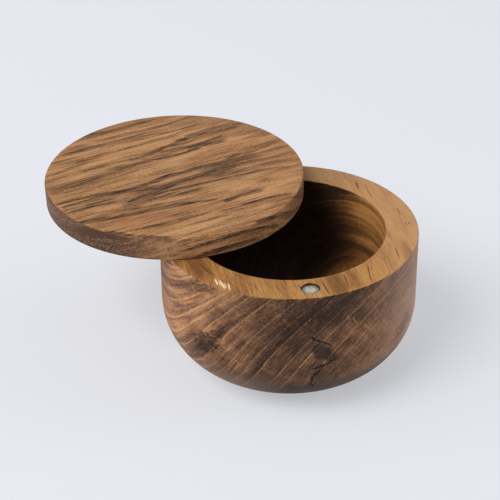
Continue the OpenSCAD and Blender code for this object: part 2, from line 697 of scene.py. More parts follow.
    def _mark_front(
        self, book: NodeBook, colour: Shade, along: Shade, across: Shade, up: Shade
    ) -> tuple[Shade, Shade]:
        """Lays the knot, its crack with painted shade in its gap, and the smudges over the front
        wall.

        Args:
            book: Book of the material's tree.
            colour: Colour so far.
            along: Place along the fibre.
            across: Place across the fibre.
            up: Height from the rim.

        Returns:
            The colour with the marks, and where the wood is open.
        """
        front = along.ease(16.0, 27.0)
        rough_s = book.noise(book.vector(across, up, along * 0.1), 0.5, 3.0, 0.62) - 0.5
        rough_z = book.noise(book.vector(up, along * 0.1, across), 0.6, 3.0, 0.62) - 0.5
        grit = book.noise(book.vector(across, up, along * 0.1), 0.9, 2.0, 0.6)
        smudge = lay(book, across + rough_s * 6.0, up + rough_z * 6.0, self.smudges) * front
        smudge = (smudge * grit.ease(0.32, 0.62, 1.25, 0.6)).least(1.0)
        smudge = smudge * self.grain.wall_share(book)
        colour = book.blend(smudge, colour, self.tones.end_dark)
        knot = lay(book, across + rough_s * 2.4, up + rough_z * 2.4, self.knots)
        knot = (knot * 0.6).most(knot.ease(0.16, 0.8)) * front
        knot = (knot * grit.ease(0.3, 0.6, 1.05, 0.7)).least(1.0)
        colour = book.blend(knot, colour, self.knot_dark)
        crack = lay(book, across + rough_s * 2.2, up + rough_z * 2.2, self.cracks)
        crack = crack.ease(0.15, 0.7, 0.0, 0.9) * front
        rays = lay(book, across, up, self.rays) * front
        colour = book.blend(rays * grit.ease(0.35, 0.5), colour, self.tones.ring_line)
        # The open crack is drawn near black: painted shade in its gap.
        return book.blend(crack, colour, self.crack_shade), crack

    def _paint_inside_light_and_shade(
        self, book: NodeBook, colour: Shade, up: Shade, end: Shade, ring: Shade, lines: Shade
    ) -> tuple[Shade, Shade]:
        """Paints the inside wall ring by ring with painted light and shade: gold where light falls
        on long grain, nearly black on end grain and deeper down. The black is painted shade over
        end grain that is darker of itself.

        Args:
            book: Book of the material's tree.
            colour: Colour so far.
            up: Height from the rim.
            end: Share of end grain.
            ring: Distance from the pith.
            lines: Strength of the rings' light lines.

        Returns:
            The colour with the rings, and their height.
        """
        x, y, _ = book.split(book.shade("ShaderNodeTexCoord", None, None, "Object"))
        from_axis = book.math("SQRT", x * x + y * y) / MM
        inside = from_axis.ease(self.mouth_r + 0.7, self.mouth_r + 0.2) * up.ease(-0.1, -0.4)
        course = book.vector(x / MM * 0.06, y / MM * 0.06, ring)
        passes = book.noise(course, 0.3, 3.0, 0.6)
        grit = book.noise(book.vector(x / MM * 0.5, y / MM * 0.5, ring), 1.6, 2.0, 0.6)
        light = (passes - 0.5) * 1.2 + lines * 0.3 + end.ease(0.03, 0.66, 0.84, 0.12)
        light = light + up.ease(-20.0, -1.0, -0.1, 0.0) + (grit - 0.5) * 0.5
        # Painted light and shade: gold where light falls, near black in the shade and deeper down.
        lit_and_shaded_inside = book.ramp(light, self.inside)
        return book.blend(inside * 0.9, colour, lit_and_shaded_inside), inside * passes


@dataclass(frozen=True)
class LidWood(Finish):
    """Oiled walnut of the lid, flat sawn, with dark streaks that swell and join across it."""

    grain: Grain
    tones: WoodTones
    near_edge: float
    mauve: Colour
    speck_pale: Colour
    streaks: tuple[Streak, ...]
    glows: tuple[Streak, ...]
    reds: tuple[Streak, ...]
    specks: tuple[Streak, ...]
    edge_marks: tuple[Streak, ...]

    def surface(self, book: NodeBook) -> Shade:
        """Builds the figure from its streaks, the fibres between them, and the cut edge.

        Args:
            book: Book of the material's tree.

        Returns:
            The shader.
        """
        tones = self.tones
        place = self.grain.read(book)
        along, across, up = book.split(place)
        end = self.grain.end_share(book)

        # The rings stand steep at the near edge and lie flatter behind it
        wave = book.noise(book.vector(along * 0.35, across, up * 2.0), 0.08, 1.0) - 0.5
        lean = ((across + self.near_edge) ** 2.0 * 0.0016 + 1.0).least(5.0)
        side = across + up * lean + wave * 1.6
        blotch = book.noise(book.vector(along * 0.16, side, up), 0.12, 2.0, 0.6)
        band = book.noise(book.vector(along * 0.07, side, up * 0.5), 0.42, 3.0, 0.6)
        fibre = book.noise(book.vector(along * 0.045, side, up), 1.5, 3.0, 0.62)
        pores = book.noise(book.vector(along * 0.4, across, up), 2.0, 2.0, 0.7)
        thread = book.noise(book.vector(along * 0.05, side, up), 1.9, 2.0, 0.6)
        warm = book.noise(book.vector(along * 0.5, side, up), 0.06, 1.0)

        torn = side + (fibre - 0.5) * 3.0 + (band - 0.5) * 1.2 + (thread - 0.5) * 1.6
        mark = lay(book, along, torn, self.streaks)
        glow = lay(book, along, torn, self.glows, mark)
        red = lay(book, along, torn, self.reds, glow)

        tone = 0.56 + (band - 0.5) * 0.9 + (fibre - 0.5) * 1.3 + (blotch - 0.5) * 0.9 + glow * 0.4
        wall = self.grain.wall_share(book)
        tone = tone + (thread - 0.5) * 0.8 + (pores - 0.5) * 1.3 + 0.02 + (band - 0.5) * wall
        colour = tones.long_grain(book, tone)
        reddened = (red * band.ease(0.3, 0.6, 0.5, 1.0)).most(warm.ease(0.45, 0.65, 0.0, 0.15))
        colour = book.blend(reddened, colour, tones.red)
        weave = fibre + (thread - 0.5) * 0.8 + (pores - 0.5) * 0.5
        shade = (mark * 1.25).least(1.0) * weave.ease(0.62, 0.38, 0.52, 1.0)
        colour = book.blend(shade, colour, tones.shade)
        threads = thread.ease(0.52, 0.38) * mark.ease(0.15, 0.7, 0.0, 0.92)
        colour = book.blend(threads, colour, tones.dark)
        hair = hairlines(book, along, side, up, 1.5)
        grooves = pores.ease(0.37, 0.26) * 0.25
        colour = book.blend(grooves.most(hair * 0.4), colour, tones.dark)

        # End grain: darker and speckled, with ring lines at a low angle
        course = side * 0.5 + (blotch - 0.5) * 2.0
        line = book.noise(book.vector(0.0, course, along * 0.01), 1.0, 2.0)
        dots = book.noise(place, 2.3, 1.0, 0.6)
        lines = abs(line - 0.5).ease(0.03, 0.006) * dots.ease(0.35, 0.5)
        lines = (lines * 0.65).most(dots.ease(0.54, 0.65, 0.0, 0.62))
        end_tone = band * 1.0 + pores * 0.5 - 0.35 + (line - 0.5) * 0.8 - mark * 0.3
        end_tone = end_tone - along.ease(-34.0, -48.0, 0.0, 0.2) + (dots - 0.5) * 0.9
        end_colour = tones.end_grain(book, end_tone)
        end_colour = book.blend(along.ease(-18.0, -48.0, 0.0, 0.5), end_colour, self.mauve)
        end_colour = book.blend(lines, end_colour, tones.ring_line)
        edge_mark = lay(book, along, up + (band - 0.5) * 3.0, self.edge_marks)
        edge_mark = edge_mark * across.ease(-8.0, -20.0) * wall
        end_colour = book.blend(edge_mark, end_colour, tones.shade)
        # Darker on the upright edge all round: partly the cut edge's own tone, partly painted
        # shade.
        colour = book.blend(wall * 0.18, colour, tones.shade)
        colour = book.blend(end.ease(0.1, 0.6), colour, end_colour)

        speck = lay(book, along, across, self.specks) * up.ease(-0.3, -0.1)
        colour = book.blend(speck, colour, self.speck_pale)

        height = fibre * 0.5 + pores * 0.5 - grooves
        normal = self.bump(book, height, 0.3, 0.12)
        rough = pores.ease(0.3, 0.7, 0.48, 0.6)
        return self.coat(book, colour, rough, normal, Specular_IOR_Level=0.12)


@dataclass(frozen=True)
class Plating(Finish):
    """Nickel plating of a disc magnet, clouded, with a painted reflection that makes it bright in
    the middle and greyer towards its edge.
    """

    bright: Colour
    cloud: Colour
    rim: Colour
    centre: Point

    def surface(self, book: NodeBook) -> Shade:
        """Builds the clouded metal.

        Args:
            book: Book of the material's tree.

        Returns:
            The shader.
        """
        place = book.shade("ShaderNodeTexCoord", None, None, "Object")
        x, y, z = book.split(place)
        off_x, off_y = x / MM - self.centre[0], y / MM - self.centre[1]
        spot = book.vector(off_x, off_y, z / MM)
        cloud = book.noise(spot, 0.62, 3.0, 0.6)
        scratch = book.noise(spot, 3.0, 2.0, 0.6)
        from_centre = book.math("SQRT", off_x * off_x + off_y * off_y) + (cloud - 0.5) * 1.6
        # Painted reflection: bright in the middle and greyer towards the edge, broken up by the
        # plating's clouds.
        colour = book.blend(cloud.ease(0.4, 0.62), self.bright, self.cloud)
        colour = book.blend(from_centre.ease(1.5, 2.5), colour, self.rim)
        rough = cloud.ease(0.3, 0.7, 0.28, 0.5)
        normal = self.bump(book, cloud * 0.7 + scratch * 0.3, 0.25, 0.05)
        return self.coat(book, colour, rough, normal, Metallic=0.6)


@dataclass(frozen=True)
class SetGlue(Finish):
    """Clear glue gone dark against the wood, with a wet shine."""

    colour: Colour
    edge: Colour

    def surface(self, book: NodeBook) -> Shade:
        """Builds the glue.

        Args:
            book: Book of the material's tree.

        Returns:
            The shader.
        """
        place = book.shade("ShaderNodeTexCoord", None, None, "Object")
        cloud = book.noise(place, 900.0, 2.0)
        colour = book.blend(cloud.ease(0.35, 0.65), self.colour, self.edge)
        rough = cloud.ease(0.3, 0.7, 0.12, 0.3)
        normal = self.bump(book, cloud, 0.3, 0.05)
        return self.coat(book, colour, rough, normal)


@dataclass(frozen=True)
class GroundSteel(Finish):
    """Ground steel of the pin, with marks that run round it."""

    colour: Colour
    bright: Colour

    def surface(self, book: NodeBook) -> Shade:
        """Builds the ground metal.

        Args:
            book: Book of the material's tree.

        Returns:
            The shader.
        """
        place = book.shade("ShaderNodeTexCoord", None, None, "Object")
        x, y, z = book.split(place)
        ground = book.noise(book.vector(x * 0.1, y * 0.1, z), 9000.0, 2.0)
        colour = book.blend(ground.ease(0.3, 0.7), self.colour, self.bright)
        rough = ground.ease(0.3, 0.7, 0.22, 0.38)
        normal = self.bump(book, ground, 0.2, 0.02)
        return self.coat(book, colour, rough, normal, Metallic=1.0)


@dataclass(frozen=True)
class Paper(Finish):
    """Matt pale paper of the floor, which the camera sees half as lit and half as plain pale."""

    colour: Colour
    shaded: Colour
    pale_share: float

    def surface(self, book: NodeBook) -> Shade:
        """Builds the paper.

        Args:
            book: Book of the material's tree.

        Returns:
            The shader.
        """
        place = book.shade("ShaderNodeTexCoord", None, None, "Object")
        colour = book.blend(book.noise(place, 5.0, 2.0), self.colour, self.shaded)
        lit = book.shade("ShaderNodeBsdfDiffuse", None, {"Color": colour})
        pale = book.shade("ShaderNodeEmission", None, {"Color": self.colour, "Strength": 1.0})
        path = book.node("ShaderNodeLightPath")
        seen = Shade(book, path.outputs["Is Camera Ray"]).most(
            Shade(book, path.outputs["Is Glossy Ray"])
        )
        return book.shade("ShaderNodeMixShader", None, {0: seen * self.pale_share, 1: lit, 2: pale})


# ---- Turning ----


@dataclass(frozen=True)
class Drilling:
    """A round blind hole, drilled along Z from a flat face, in mm."""

    place: Point
    face: float
    radius: float
    depth: float
    downwards: bool


class Lathe:
    """Turns half sections into solids with a Geometry Nodes tree, and drills them."""

    WOOD_SIDES = 192
    SMALL_SIDES = 96
    CLEAR = 0.5
    WELD = 1e-6
    CLOSE = 1e-7
    SHARP_DEG = 32.0

    def __init__(
        self,
        finish: bpy.types.Material,
        sides: int = SMALL_SIDES,
        drillings: tuple[Drilling, ...] = (),
    ) -> None:
        """Builds the tree.

        Args:
            finish: Material that the turned piece gets.
            sides: Number of sides that make the round.
            drillings: Holes to drill once the piece is turned.
        """
        self.sides = sides
        self.drillings = drillings
        self.tree = bpy.data.node_groups.new("turn_section", "GeometryNodeTree")
        self._socket("Section", "Geometry")
        self.segments = self._socket("Segments", "Int")
        self.finish = self._socket("Finish", "Material")
        self._socket("Solid", "Geometry", "OUTPUT")
        self.material = finish
        self._fill(NodeBook(self.tree))

    def _socket(self, name: str, kind: str, side: str = "INPUT") -> Any:
        """Gives the tree one named input or output."""
        kind = "NodeSocket" + kind
        return self.tree.interface.new_socket(name=name, in_out=side, socket_type=kind)

    def _fill(self, book: NodeBook) -> None:
        """Writes the tree: a grid whose rows follow the section and whose columns go round.

        Args:
            book: Book of the tree.
        """
        start = book.node("NodeGroupInput")
        section = Shade(book, start.outputs["Section"])
        segments = Shade(book, start.outputs["Segments"])
        settings = {"component": "MESH"}
        rows = book.shade("GeometryNodeAttributeDomainSize", settings, {0: section}, "Point Count")
        sockets = {
            "Size X": 1.0,
            "Size Y": rows - 1,
            "Vertices X": segments + 1,
            "Vertices Y": rows,
        }
        grid = book.shade("GeometryNodeMeshGrid", None, sockets, "Mesh")
        x, y, _ = book.split(book.shade("GeometryNodeInputPosition"))
        row = book.math("ROUND", y + (rows - 1) * 0.5)
        turn = (x + 0.5) * math.tau
        settings = {"data_type": "FLOAT_VECTOR", "domain": "POINT"}
        corner = book.shade("GeometryNodeInputPosition")
        sockets = {"Geometry": section, "Value": corner, "Index": row}
        radius, _, height = book.split(book.shade("GeometryNodeSampleIndex", settings, sockets))
        across = book.math("COSINE", turn) * radius
        away = book.math("SINE", turn) * radius
        sockets = {"Geometry": grid, "Position": book.vector(across, away, height)}
        solid = book.shade("GeometryNodeSetPosition", None, sockets, "Geometry")
        sockets = {"Geometry": solid, "Distance": self.WELD}
        solid = book.shade("GeometryNodeMergeByDistance", None, sockets, "Geometry")
        for drilling in self.drillings:
            solid = self._drill(book, solid, drilling)
        solid = book.shade("GeometryNodeRealizeInstances", None, {"Geometry": solid}, "Geometry")
        finish = Shade(book, start.outputs["Finish"])
        sockets = {"Geometry": solid, "Material": finish}
        solid = book.shade("GeometryNodeSetMaterial", None, sockets, "Geometry")
        book.node("NodeGroupOutput", None, {"Solid": solid})

    def _drill(self, book: NodeBook, solid: Shade, drilling: Drilling) -> Shade:
        """Cuts one hole.

        Args:
            book: Book of the tree.
            solid: The piece so far.
            drilling: The hole.

        Returns:
            The piece with the hole.
        """
        length = drilling.depth + self.CLEAR
        sign = -1.0 if drilling.downwards else 1.0
        middle = drilling.face + sign * (drilling.depth - length / 2)
        sockets = {
            "Vertices": self.SMALL_SIDES,
            "Radius": drilling.radius * MM,
            "Depth": length * MM,
        }
        tool = book.shade("GeometryNodeMeshCylinder", None, sockets, "Mesh")
        place = (drilling.place[0] * MM, drilling.place[1] * MM, middle * MM)
        moved = {"Geometry": tool, "Translation": place}
        tool = book.shade("GeometryNodeTransform", None, moved, "Geometry")
        settings = {"operation": "DIFFERENCE", "solver": "EXACT"}
        sockets = {"Mesh 1": solid, "Mesh 2": tool}
        return book.shade("GeometryNodeMeshBoolean", settings, sockets, "Mesh")

    def turn(self, name: str, section: list[Point]) -> bpy.types.Object:
        """Turns a half section about Z.

        Args:
            name: Name of the piece.
            section: Radius and height of each corner in mm, from the axis round to the axis.

        Returns:
            The piece as a plain mesh with its normals outwards.
        """
        outline = bpy.data.meshes.new(name + "_section")
        points = [(radius * MM, 0.0, height * MM) for radius, height in section]
        edges = [(index, index + 1) for index in range(len(points) - 1)]
        outline.from_pydata(points, edges, [])
        blank = bpy.data.objects.new(name + "_blank", outline)
        bpy.context.scene.collection.objects.link(blank)
        lathe = blank.modifiers.new("Lathe", "NODES")
        lathe.node_group = self.tree
        lathe[self.segments.identifier] = self.sides
        lathe[self.finish.identifier] = self.material
        graph = bpy.context.evaluated_depsgraph_get()
        mesh = bpy.data.meshes.new_from_object(blank.evaluated_get(graph))
        bpy.data.objects.remove(blank)
        mesh.name = name
        work = bmesh.new()
        work.from_mesh(mesh)
        bmesh.ops.remove_doubles(work, verts=work.verts, dist=self.CLOSE)
        bmesh.ops.recalc_face_normals(work, faces=work.faces)
        work.to_mesh(mesh)
        work.free()
        mesh.shade_smooth()
        mesh.set_sharp_from_angle(angle=math.radians(self.SHARP_DEG))
        piece = bpy.data.objects.new(name, mesh)
        bpy.context.scene.collection.objects.link(piece)
        return piece


def arc(
    centre: Point, radius: float, start_deg: float, end_deg: float, steps: int = 6
) -> list[Point]:
    """Gives points along an arc of a section.

    Args:
        centre: Middle of the arc in mm.
        radius: Radius in mm.
        start_deg: Angle of the first point.
        end_deg: Angle of the last point.
        steps: Number of straight runs.

    Returns:
        The points, both ends included.
    """
    points = []
    for step in range(steps + 1):
        angle = math.radians(start_deg + (end_deg - start_deg) * step / steps)
        points.append((centre[0] + radius * math.cos(angle), centre[1] + radius * math.sin(angle)))
    return points


# ---- Pieces ----


class Body(Enum):
    """Rigid bodies that the pieces ride on."""

    BOWL = "bowl"
    LID = "lid"


@dataclass
class Sizes:
    """Sizes that more than one piece needs, in mm, as the part's source has them."""

    rim_r: float = 49.0
    rim_z: float = 56.4
    wall: float = 12.4
    gap: float = 0.12
    lid_swing_deg: float = 74.8
    pin_deg: float = 97.2
    magnet_deg: float = -79.5
    pin_r: float = 3.175
    pin_play: float = 0.05
    pin_in_bowl: float = 22.0
    pin_in_lid: float = 6.0
    bore_spare: float = 2.0
    magnet_r: float = 3.175
    magnet_t: float = 3.2
    glue_t: float = 0.2
    rim_recess: float = 0.6
    lid_recess: float = 0.3

    @property
    def mouth_r(self) -> float:
        """Radius of the mouth."""
        return self.rim_r - self.wall

    @property
    def middle_r(self) -> float:
        """Radius on which pin and magnets stand."""
        return self.rim_r - self.wall / 2

    def on_wall(self, angle_deg: float) -> Point:
        """Point in the middle of the wall at an angle."""
        angle = math.radians(angle_deg)
        return self.middle_r * math.cos(angle), self.middle_r * math.sin(angle)

    @property
    def pin_at(self) -> Point:
        """Place of the pin."""
        return self.on_wall(self.pin_deg)

    @property
    def magnet_at(self) -> Point:
        """Place of the rim magnet."""
        return self.on_wall(self.magnet_deg)

    def swung(self, point: Point) -> Point:
        """Carries a point of the shut lid to where the open lid has it.

        Args:
            point: Point of the shut lid, in mm.

        Returns:
            The same point of the open lid.
        """
        angle = math.radians(-self.lid_swing_deg)
        x, y = point[0] - self.pin_at[0], point[1] - self.pin_at[1]
        return (
            self.pin_at[0] + x * math.cos(angle) - y * math.sin(angle),
            self.pin_at[1] + x * math.sin(angle) + y * math.cos(angle),
        )


def moved(piece: bpy.types.Object, by_mm: tuple[float, float, float]) -> bpy.types.Object:
    """Moves a piece's mesh, so that its object stays at the origin.

    Args:
        piece: The piece.
        by_mm: How far, in mm.

    Returns:
        The same piece.
    """
    piece.data.transform(Matrix.Translation(Vector(by_mm) * MM))
    return piece


def swung(piece: bpy.types.Object, sizes: Sizes) -> bpy.types.Object:
    """Swings a piece of the shut lid open round the pin.

    Args:
        piece: The piece, where the shut lid has it.
        sizes: Sizes that give the pin's place and the swing.

    Returns:
        The same piece.
    """
    pin = Matrix.Translation(Vector((*sizes.pin_at, 0.0)) * MM)
    turn = Matrix.Rotation(math.radians(-sizes.lid_swing_deg), 4, "Z")
    piece.data.transform(pin @ turn @ pin.inverted())
    return piece


def seat(piece: bpy.types.Object, body: Body, node: str) -> None:
    """Puts a finished piece on its body in place of a CAD node.

    Args:
        piece: The piece.
        body: Body that it rides on.
        node: CAD node that it stands for.
    """
    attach(piece, body.value)
    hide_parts(node)
    log.info("%s: %d faces, on %s", piece.name, len(piece.data.polygons), body.value)


@dataclass
class Bowl:
    """The turned bowl."""

    sizes: Sizes
    swell: float = 0.3
    turn_h: float = 27.8
    turn_r: float = 26.0
    foot_r: float = 28.5
    edge_r: float = 0.5
    floor_t: float = 9.0
    corner_r: float = 22.0

    CURVE_STEPS = 26
    EDGE_STEPS = 5

    def section(self) -> list[Point]:
        """Gives the half section, from the middle of the foot round to the middle of the floor.

        Returns:
            Radius and height of each corner in mm.
        """
        sizes = self.sizes
        belly_r = sizes.rim_r + self.swell
        turn_at = (belly_r - self.turn_r, self.turn_h)
        to_foot = (self.foot_r - turn_at[0], -turn_at[1])
        slope = math.atan2(to_foot[1], to_foot[0]) + math.acos(self.turn_r / math.hypot(*to_foot))
        top = sizes.rim_z
        points = [(0.0, 0.0), (self.foot_r * 0.5, 0.0), (self.foot_r, 0.0)]
        points += arc(turn_at, self.turn_r, math.degrees(slope), 0.0, self.CURVE_STEPS)
        edge = self.edge_r
        points += arc((sizes.rim_r - edge, top - edge), edge, 0.0, 90.0, self.EDGE_STEPS)
        points += arc((sizes.mouth_r + edge, top - edge), edge, 90.0, 180.0, self.EDGE_STEPS)
        corner = (sizes.mouth_r - self.corner_r, self.floor_t + self.corner_r)
        points += arc(corner, self.corner_r, 0.0, -90.0, self.CURVE_STEPS)
        points += [(corner[0] * 0.5, self.floor_t), (0.0, self.floor_t)]
        return points

    def finish(self) -> BowlWood:
        """Gives the bowl's finish.

        Returns:
            The finish, with the places of its rings, knot and streaks.
        """
        tones = WoodTones(
            shade=srgb(150, 122, 98),
            brown=srgb(112, 74, 42),
            plain=srgb(150, 102, 56),
            gold=srgb(178, 127, 72),
            pale=srgb(198, 150, 92),
            red=srgb(200, 154, 114),
            dark=srgb(56, 36, 26),
            end_dark=srgb(44, 29, 20),
            end_plain=srgb(97, 67, 47),
            end_gold=srgb(142, 100, 70),
            end_pale=srgb(184, 134, 94),
            ring_line=srgb(196, 146, 98),
        )
        # Distance of each ring's line from the pith, and its strength
        lines = (
            (64.6, 0.2), (66.9, 0.3), (71.6, 0.65), (78.0, 0.65), (82.3, 0.3), (88.6, 0.5),
            (92.4, 0.35), (94.9, 0.2), (97.7, 0.45), (100.8, 0.32), (103.9, 0.75), (108.9, 0.75),
            (112.0, 0.75), (114.4, 0.75), (117.5, 0.6), (119.6, 0.6), (122.1, 0.55), (123.3, 0.5),
            (124.9, 0.55), (127.6, 0.4), (130.4, 0.4),
        )
        # Distance from the pith, and how light the wood is there
        ring_tones = (
            (44.0, 0.8), (56.0, 0.68), (66.0, 0.52), (70.8, 0.42), (72.6, 0.44), (77.2, 0.46),
            (78.6, 0.42), (81.4, 0.36), (83.4, 0.28), (86.8, 0.36), (88.2, 0.4), (89.2, 0.14),
            (91.4, 0.32), (93.2, 0.34), (97.2, 0.5), (98.6, 0.46), (103.4, 0.58), (104.8, 0.4),
            (108.4, 0.6), (109.8, 0.54), (111.8, 0.76), (113.0, 0.66), (114.3, 0.78),
            (115.4, 0.66), (119.6, 0.72), (120.5, 0.46), (121.2, 0.48), (122.0, 0.72),
            (132.0, 0.7),
        )
        # Inside wall from near black to gold: painted shade and painted light over the wood's own
        # tones.
        inside = (
            (0.0, srgb(20, 9, 4)),
            (0.3, srgb(46, 27, 11)),
            (0.62, srgb(112, 72, 30)),
            (0.95, srgb(190, 132, 70)),
        )
        return BowlWood(
            name="bowl_walnut",
            grain=Grain(-75.0, (0.0, 0.0), self.sizes.rim_z),
            tones=tones,
            pith=(56.43, -71.89),
            ring_lines=lines,
            ring_tones=ring_tones,
            ring_span=(44.0, 132.0),
            mouth_r=self.sizes.mouth_r,
            inside=inside,
            right_flank_sheen=srgb(172, 143, 125),
            foot_sheen=srgb(150, 122, 100),
            foot_shade=srgb(32, 26, 23),
            knot_dark=srgb(40, 27, 24),
            crack_shade=srgb(24, 16, 13),
            chip_and_glint=srgb(246, 222, 184),
            **self.marks(),
        )

    @staticmethod
    def marks() -> dict[str, tuple[Streak, ...]]:
        """Places the knot with its crack and the other marks of the bowl.

        Returns:
            The streaks of each kind of mark, by the name of the finish's field.
        """
        # On the front wall: along is the way across the grain, across is the height from the rim
        smudges = streaks(
            (-40.6, -27.4, -36.8, -23.4, 3.2, 0.95), (-36.4, -21.6, -33.6, -17.0, 1.5, 0.85),
            (-44.0, -28.0, -34.0, -28.6, 3.0, 0.4), (-44.0, -32.0, -32.0, -33.0, 2.6, 0.35),
            (-49.0, -8.4, -36.0, -0.4, 1.5, 0.8), (-30.0, -8.0, 14.0, -2.0, 10.0, 0.6),
            (-20.0, -22.0, 0.0, -8.0, 7.0, 0.45), (4.0, -28.0, 34.0, -29.0, 8.0, 0.2),
            (0.0, -35.0, 9.0, -32.0, 4.0, 0.45), (12.0, -14.0, 18.0, -12.0, 2.4, 0.35),
            (14.0, -27.0, 20.0, -23.0, 1.6, 0.3), (8.0, -24.0, 14.0, -19.0, 1.4, 0.25),
            (30.0, -34.0, 38.0, -26.0, 3.0, 0.35),
        )
        knots = streaks(
            (-3.0, -21.4, 1.4, -24.6, 2.6, 0.95), (-3.0, -24.6, 1.4, -25.0, 1.7, 0.85),
            (1.0, -26.8, 5.0, -26.6, 1.7, 0.6), (-4.0, -30.6, 1.0, -29.0, 0.9, 0.5),
        )
        cracks = streaks(
            (-5.2, -16.6, -1.0, -19.0, 0.5, 0.75), (-1.6, -18.6, 3.2, -21.4, 0.45, 0.6),
            (5.0, -27.0, 0.2, -29.8, 0.42, 0.75), (0.8, -29.4, -4.6, -31.0, 0.5, 0.85),
            (-1.0, -31.0, -4.0, -34.8, 0.62, 0.95), (-3.6, -34.2, -4.4, -38.6, 0.5, 0.9),
            (-4.6, -38.0, -2.2, -41.2, 0.4, 0.75), (-2.4, -32.0, -3.2, -33.6, 0.8, 0.8),
        )
        rays = streaks(
            (10.8, -11.4, 13.2, -15.4, 0.26, 0.55), (15.4, -15.6, 19.2, -20.4, 0.24, 0.5),
            (8.6, -10.0, 9.8, -12.2, 0.2, 0.4), (13.4, -18.2, 15.8, -21.8, 0.2, 0.4),
        )
        # On the rim: along and across the grain
        rim_lines = streaks(
            (-27.3, 35.1, -20.7, 34.2, 0.34, 0.75), (-24.5, 37.8, -12.1, 37.2, 0.26, 0.45),
            (-3.3, 44.0, 2.6, 44.0, 0.26, 0.6), (8.0, 43.6, 10.2, 43.9, 0.24, 0.7),
            (8.4, 44.9, 10.0, 44.8, 0.22, 0.6), (23.4, 34.3, 32.2, 33.2, 0.28, 0.65),
            (31.5, 20.8, 46.0, 18.2, 0.24, 0.75), (35.8, 10.7, 47.1, 9.6, 0.28, 0.55),
            (37.8, 1.7, 49.0, 1.8, 0.24, 0.8), (36.2, 6.6, 44.0, 7.4, 0.26, 0.5),
            (38.2, -7.2, 47.2, -6.0, 0.24, 0.8), (35.4, -11.5, 38.6, -10.5, 0.24, 0.6),
            (35.0, -21.9, 39.7, -21.6, 0.3, 0.5), (15.8, -38.6, 26.4, -34.9, 0.34, 0.6),
            (19.3, -36.0, 27.2, -34.3, 0.28, 0.5), (16.7, -32.5, 20.2, -32.5, 0.34, 0.5),
            (26.3, -27.2, 29.1, -26.7, 0.34, 0.5), (36.0, -15.0, 46.0, -13.6, 0.25, 0.35),
        )
        rim_patches = streaks(
            (34.0, 6.0, 50.0, 6.4, 2.9, 0.8), (34.0, 14.0, 46.0, 13.2, 1.6, 0.3),
            (14.0, -40.6, 27.0, -38.6, 1.6, 0.8), (14.0, -36.6, 30.0, -34.6, 1.4, 0.4),
            (-46.0, 6.0, -30.0, 9.0, 5.0, 0.4), (20.0, 38.6, 34.0, 37.0, 1.6, 0.3),
        )
        chips = streaks(
            (28.4, -34.6, 32.6, -34.5, 0.3, 1.0), (30.0, -33.8, 33.8, -33.5, 0.2, 0.7),
            (29.4, -33.2, 35.8, -32.5, 0.32, 1.0), (31.4, -32.2, 35.4, -31.9, 0.2, 0.7),
            (32.4, -30.7, 36.8, -30.9, 0.26, 0.95),
        )
        return {
            "smudges": smudges,
            "knots": knots,
            "cracks": cracks,
            "rays": rays,
            "rim_lines": rim_lines,
            "rim_patches": rim_patches,
            "chips": chips,
        }

    def build(self) -> bpy.types.Object:
        """Turns the bowl, drills it and seats it.

        Returns:
            The bowl.
        """
        sizes = self.sizes
        bore = Drilling(
            place=sizes.pin_at,
            face=sizes.rim_z,
            radius=sizes.pin_r + sizes.pin_play,
            depth=sizes.pin_in_bowl + sizes.bore_spare,
            downwards=True,
        )
        pocket = Drilling(
            place=sizes.magnet_at,
            face=sizes.rim_z,
            radius=sizes.magnet_r + sizes.glue_t,
            depth=sizes.rim_recess + sizes.magnet_t + sizes.glue_t,
            downwards=True,
        )
        lathe = Lathe(self.finish().material(), Lathe.WOOD_SIDES, (bore, pocket))
        bowl = lathe.turn("turned_bowl", self.section())
        seat(bowl, Body.BOWL, "bowl")
        return bowl


